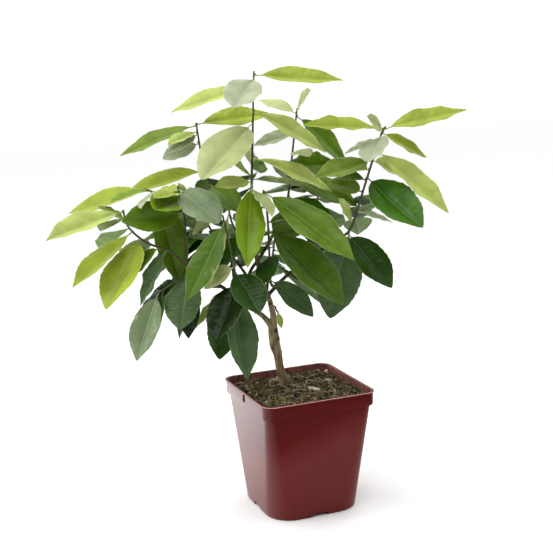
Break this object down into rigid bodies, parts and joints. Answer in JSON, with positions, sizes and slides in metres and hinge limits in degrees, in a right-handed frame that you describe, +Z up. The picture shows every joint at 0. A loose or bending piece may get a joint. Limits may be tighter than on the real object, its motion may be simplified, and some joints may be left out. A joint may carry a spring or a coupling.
{
  "type": "potted four seasons lemon tree",
  "caption": "Young four seasons lemon tree in a square nursery pot: forked trunk, tapering boughs and leafy shoots.",
  "frame": {"origin": "middle of the pot's flat underside", "axes": "+Z is up; the pot's sides face +X, -X, +Y and -Y; its wide front face in the picture is -Y and its narrow left one is -X"},
  "size_m": [0.5152, 0.3511, 0.5535],
  "materials": {
    "pot": "smooth dark red moulded plastic, satin to glossy, lightly scuffed",
    "soil": "rough, fibrous, moist compost with bark bits",
    "bark": "grey-brown to olive young bark with fine ridges and a knot",
    "leaf": "smooth citrus leaves, waxy above and paler below, from yellow-green when young to dark green"
  },
  "bodies": {
    "root": {"pot": "pot", "soil": "soil", "trunk": "bark", "bough_leader": "bark", "bough_left": "bark", "bough_right": "bark", "bough_back_upper": "bark", "bough_left_upper": "bark", "bough_lower_left": "bark", "bough_far_left": "bark", "bough_front_left": "bark", "bough_front_right": "bark", "bough_middle": "bark", "bough_back_left": "bark", "bough_back_right": "bark", "bough_back_low": "bark", "foliage_leader": "leaf", "foliage_left_upper": "leaf", "foliage_back_upper": "leaf", "foliage_right": "leaf", "foliage_left": "leaf", "foliage_far_left": "leaf", "foliage_lower_left": "leaf", "foliage_front_left": "leaf", "foliage_front_right": "leaf", "foliage_middle": "leaf", "foliage_back_left": "leaf", "foliage_back_right": "leaf", "foliage_back_low": "leaf", "foliage_sprig": "leaf"}
  },
  "joints": []
}
